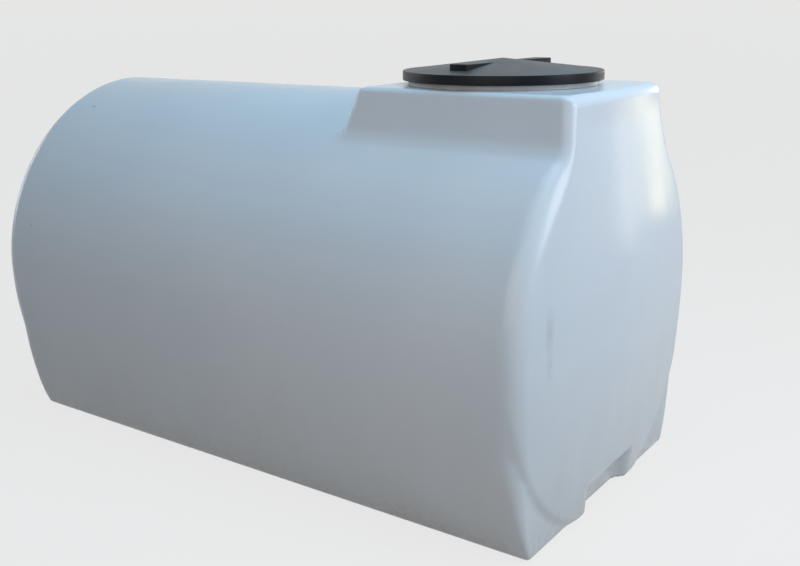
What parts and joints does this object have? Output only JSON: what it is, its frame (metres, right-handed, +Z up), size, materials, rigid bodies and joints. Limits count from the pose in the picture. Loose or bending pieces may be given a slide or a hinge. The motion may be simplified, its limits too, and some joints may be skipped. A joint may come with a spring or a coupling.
{
  "type": "horizontal plastic cistern",
  "caption": "Oval horizontal water tank on a flat foot, with dished ends, a raised turret at one end and a round screw lid that lifts off.",
  "frame": {"origin": "on the ground under the middle of the barrel", "axes": "+X along the barrel towards the turret's end, +Z up, and +Y to the right of someone who faces that end, which is the side that the nodes named right lie on"},
  "size_m": [2.062, 1.144, 1.252],
  "materials": {
    "shell": "soft gloss natural white moulded polyethylene",
    "lid": "satin black moulded plastic",
    "gasket": "matt black rubber"
  },
  "bodies": {
    "tank": {"floor": "shell", "left_side": "shell", "right_side": "shell", "left_shoulder": "shell", "right_shoulder": "shell", "crown": "shell", "front_end": "shell", "back_end": "shell", "front_pocket": "shell", "back_pocket": "shell", "turret_front": "shell", "turret_left": "shell", "turret_right": "shell", "turret_back": "shell", "deck": "shell", "neck": "shell"},
    "lid": {"lid": "lid", "lid_gasket": "gasket"}
  },
  "joints": [
    {"name": "lid_lift", "type": "slide", "parent": "tank", "child": "lid", "axis": [0, 0, 1], "range_m": [0, 0.3]}
  ]
}
